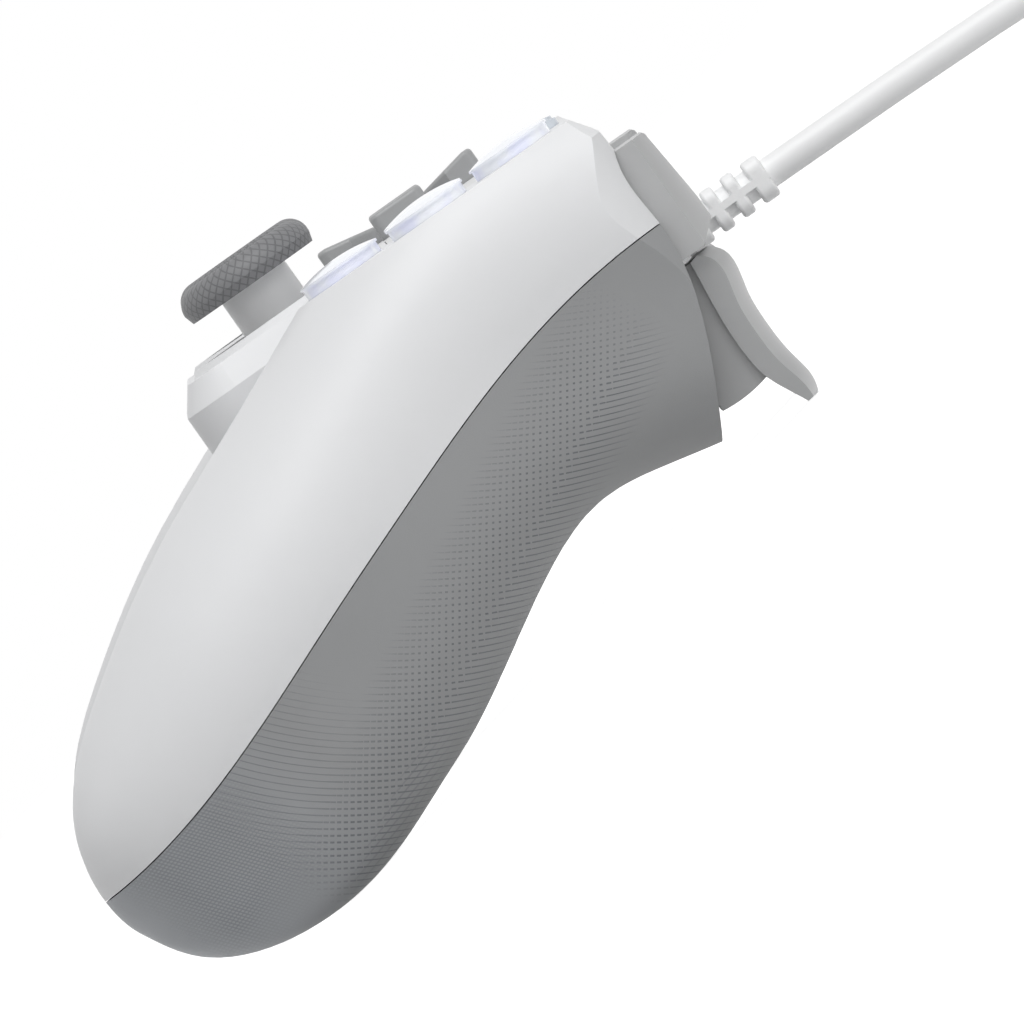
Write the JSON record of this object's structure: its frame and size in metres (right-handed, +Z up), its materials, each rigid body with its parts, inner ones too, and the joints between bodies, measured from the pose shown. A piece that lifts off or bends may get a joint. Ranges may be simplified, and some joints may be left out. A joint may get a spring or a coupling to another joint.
{
  "type": "wired gamepad",
  "caption": "Wired two-grip gamepad with sprung thumb sticks, direction keys, domed face buttons, bumpers, triggers, touchpad and a coiled cord with plug",
  "frame": {"origin": "on the supporting surface, under the middle of the pad without its cord's coil and plug", "axes": "+X to the player's right, +Y away from the player where the cord leaves, +Z up; the pad lies at rest on both grips and both trigger tips, so its deck slopes 12.24 degrees down to +Y"},
  "size_m": [0.1624, 0.2661, 0.0634],
  "materials": {
    "shell_white": "fine satin moulded plastic",
    "shell_grey": "fine grained moulded plastic with an engraved grip pattern",
    "control_grey": "satin moulded plastic",
    "trigger_grey": "satin moulded plastic",
    "cap_rubber": "matt knurled rubber",
    "stem_white": "smooth moulded plastic",
    "clear_lens": "clear moulded plastic",
    "core_white": "frosted plastic",
    "pill_clear": "milky translucent plastic",
    "touch_white": "fine matt plastic",
    "board_green": "lacquered circuit board",
    "dome_rubber": "soft conductive rubber",
    "inner_plastic": "moulded engineering plastic",
    "steel": "plain steel",
    "jack_black": "moulded plastic",
    "cord_white": "soft satin cord sleeve"
  },
  "bodies": {
    "housing": {"upper_shell": "shell_white", "lower_shell": "shell_grey", "main_board": "board_green", "button_board": "board_green", "key_board": "board_green", "button_domes": "dome_rubber", "key_domes": "dome_rubber", "headset_jack": "jack_black", "case_screws": "steel", "strain_relief": "cord_white", "cord": "cord_white", "cord_coil": "cord_white", "cord_tail": "cord_white", "plug_grip": "cord_white", "plug_shell": "steel", "stick_ring_right": "shell_white", "stick_base_right": "inner_plastic", "trigger_pin_right": "steel", "motor_right": "steel", "stick_ring_left": "shell_white", "stick_base_left": "inner_plastic", "trigger_pin_left": "steel", "motor_left": "steel"},
    "button_north": {"button_north_lens": "clear_lens", "button_north_core": "core_white"},
    "button_east": {"button_east_lens": "clear_lens", "button_east_core": "core_white"},
    "button_south": {"button_south_lens": "clear_lens", "button_south_core": "core_white"},
    "button_west": {"button_west_lens": "clear_lens", "button_west_core": "core_white"},
    "key_up": {"key_up": "control_grey"},
    "key_left": {"key_left": "control_grey"},
    "key_down": {"key_down": "control_grey"},
    "key_right": {"key_right": "control_grey"},
    "options_pill": {"options_pill": "pill_clear"},
    "share_pill": {"share_pill": "pill_clear"},
    "home_button": {"home_button": "pill_clear"},
    "touchpad": {"touchpad": "touch_white"},
    "stick_yoke_right": {"stick_yoke_right": "inner_plastic"},
    "stick_block_right": {"stick_block_right": "inner_plastic"},
    "stick_right": {"stick_stem_right": "stem_white", "stick_cap_right": "cap_rubber"},
    "bumper_right": {"bumper_right": "trigger_grey"},
    "trigger_right": {"trigger_right": "trigger_grey"},
    "motor_weight_right": {"motor_weight_right": "steel"},
    "stick_yoke_left": {"stick_yoke_left": "inner_plastic"},
    "stick_block_left": {"stick_block_left": "inner_plastic"},
    "stick_left": {"stick_stem_left": "stem_white", "stick_cap_left": "cap_rubber"},
    "bumper_left": {"bumper_left": "trigger_grey"},
    "trigger_left": {"trigger_left": "trigger_grey"},
    "motor_weight_left": {"motor_weight_left": "steel"}
  },
  "joints": [
    {"name": "button_north_press", "type": "slide", "parent": "housing", "child": "button_north", "axis": [0, -0.212, -0.9773], "range_m": [0, 0.0008], "stiffness_N_per_m": 1125, "springref_m": -0.00027},
    {"name": "button_east_press", "type": "slide", "parent": "housing", "child": "button_east", "axis": [0, -0.212, -0.9773], "range_m": [0, 0.0008], "stiffness_N_per_m": 1125, "springref_m": -0.00027},
    {"name": "button_south_press", "type": "slide", "parent": "housing", "child": "button_south", "axis": [0, -0.212, -0.9773], "range_m": [0, 0.0008], "stiffness_N_per_m": 1125, "springref_m": -0.00027},
    {"name": "button_west_press", "type": "slide", "parent": "housing", "child": "button_west", "axis": [0, -0.212, -0.9773], "range_m": [0, 0.0008], "stiffness_N_per_m": 1125, "springref_m": -0.00027},
    {"name": "key_up_press", "type": "slide", "parent": "housing", "child": "key_up", "axis": [0, -0.212, -0.9773], "range_m": [0, 0.00065], "stiffness_N_per_m": 1385, "springref_m": -0.00022},
    {"name": "key_left_press", "type": "slide", "parent": "housing", "child": "key_left", "axis": [0, -0.212, -0.9773], "range_m": [0, 0.00065], "stiffness_N_per_m": 1385, "springref_m": -0.00022},
    {"name": "key_down_press", "type": "slide", "parent": "housing", "child": "key_down", "axis": [0, -0.212, -0.9773], "range_m": [0, 0.00065], "stiffness_N_per_m": 1385, "springref_m": -0.00022},
    {"name": "key_right_press", "type": "slide", "parent": "housing", "child": "key_right", "axis": [0, -0.212, -0.9773], "range_m": [0, 0.00065], "stiffness_N_per_m": 1385, "springref_m": -0.00022},
    {"name": "options_press", "type": "slide", "parent": "housing", "child": "options_pill", "axis": [0, -0.212, -0.9773], "range_m": [0, 0.0005], "stiffness_N_per_m": 1800, "springref_m": -0.00017},
    {"name": "share_press", "type": "slide", "parent": "housing", "child": "share_pill", "axis": [0, -0.212, -0.9773], "range_m": [0, 0.0005], "stiffness_N_per_m": 1800, "springref_m": -0.00017},
    {"name": "home_press", "type": "slide", "parent": "housing", "child": "home_button", "axis": [0, -0.212, -0.9773], "range_m": [0, 0.0005], "stiffness_N_per_m": 1800, "springref_m": -0.00017},
    {"name": "touchpad_press", "type": "slide", "parent": "housing", "child": "touchpad", "axis": [0, -0.212, -0.9773], "range_m": [0, 0.0004], "stiffness_N_per_m": 3750, "springref_m": -0.00013},
    {"name": "stick_pitch_right", "type": "hinge", "parent": "housing", "child": "stick_yoke_right", "pos_m": [0.025, 0.00374, 0.04256], "axis": [1, 0, 0], "range_deg": [-14, 14], "stiffness_Nm_per_rad": 0.08},
    {"name": "stick_roll_right", "type": "hinge", "parent": "stick_yoke_right", "child": "stick_block_right", "pos_m": [0.025, 0.00374, 0.04256], "axis": [0, 0.9773, -0.212], "range_deg": [-14, 14], "stiffness_Nm_per_rad": 0.08},
    {"name": "stick_click_right", "type": "slide", "parent": "stick_block_right", "child": "stick_right", "axis": [0, -0.212, -0.9773], "range_m": [0, 0.0005], "stiffness_N_per_m": 4000, "springref_m": -0.0004},
    {"name": "bumper_press_right", "type": "slide", "parent": "housing", "child": "bumper_right", "axis": [0, -0.9773, 0.212], "range_m": [0, 0.001], "stiffness_N_per_m": 1200, "springref_m": -0.0004},
    {"name": "trigger_pull_right", "type": "hinge", "parent": "housing", "child": "trigger_right", "pos_m": [0.051, 0.03964, 0.0227], "axis": [-1, 0, 0], "range_deg": [0, 15], "stiffness_Nm_per_rad": 0.1, "springref_deg": -17.19},
    {"name": "motor_spin_right", "type": "hinge", "parent": "housing", "child": "motor_weight_right", "pos_m": [0.064, -0.02749, 0.02222], "axis": [1, 0, 0], "continuous": true},
    {"name": "stick_pitch_left", "type": "hinge", "parent": "housing", "child": "stick_yoke_left", "pos_m": [-0.025, 0.00374, 0.04256], "axis": [1, 0, 0], "range_deg": [-14, 14], "stiffness_Nm_per_rad": 0.08},
    {"name": "stick_roll_left", "type": "hinge", "parent": "stick_yoke_left", "child": "stick_block_left", "pos_m": [-0.025, 0.00374, 0.04256], "axis": [0, 0.9773, -0.212], "range_deg": [-14, 14], "stiffness_Nm_per_rad": 0.08},
    {"name": "stick_click_left", "type": "slide", "parent": "stick_block_left", "child": "stick_left", "axis": [0, -0.212, -0.9773], "range_m": [0, 0.0005], "stiffness_N_per_m": 4000, "springref_m": -0.0004},
    {"name": "bumper_press_left", "type": "slide", "parent": "housing", "child": "bumper_left", "axis": [0, -0.9773, 0.212], "range_m": [0, 0.001], "stiffness_N_per_m": 1200, "springref_m": -0.0004},
    {"name": "trigger_pull_left", "type": "hinge", "parent": "housing", "child": "trigger_left", "pos_m": [-0.051, 0.03964, 0.0227], "axis": [-1, 0, 0], "range_deg": [0, 15], "stiffness_Nm_per_rad": 0.1, "springref_deg": -17.19},
    {"name": "motor_spin_left", "type": "hinge", "parent": "housing", "child": "motor_weight_left", "pos_m": [-0.064, -0.02749, 0.02222], "axis": [-1, 0, 0], "continuous": true}
  ]
}
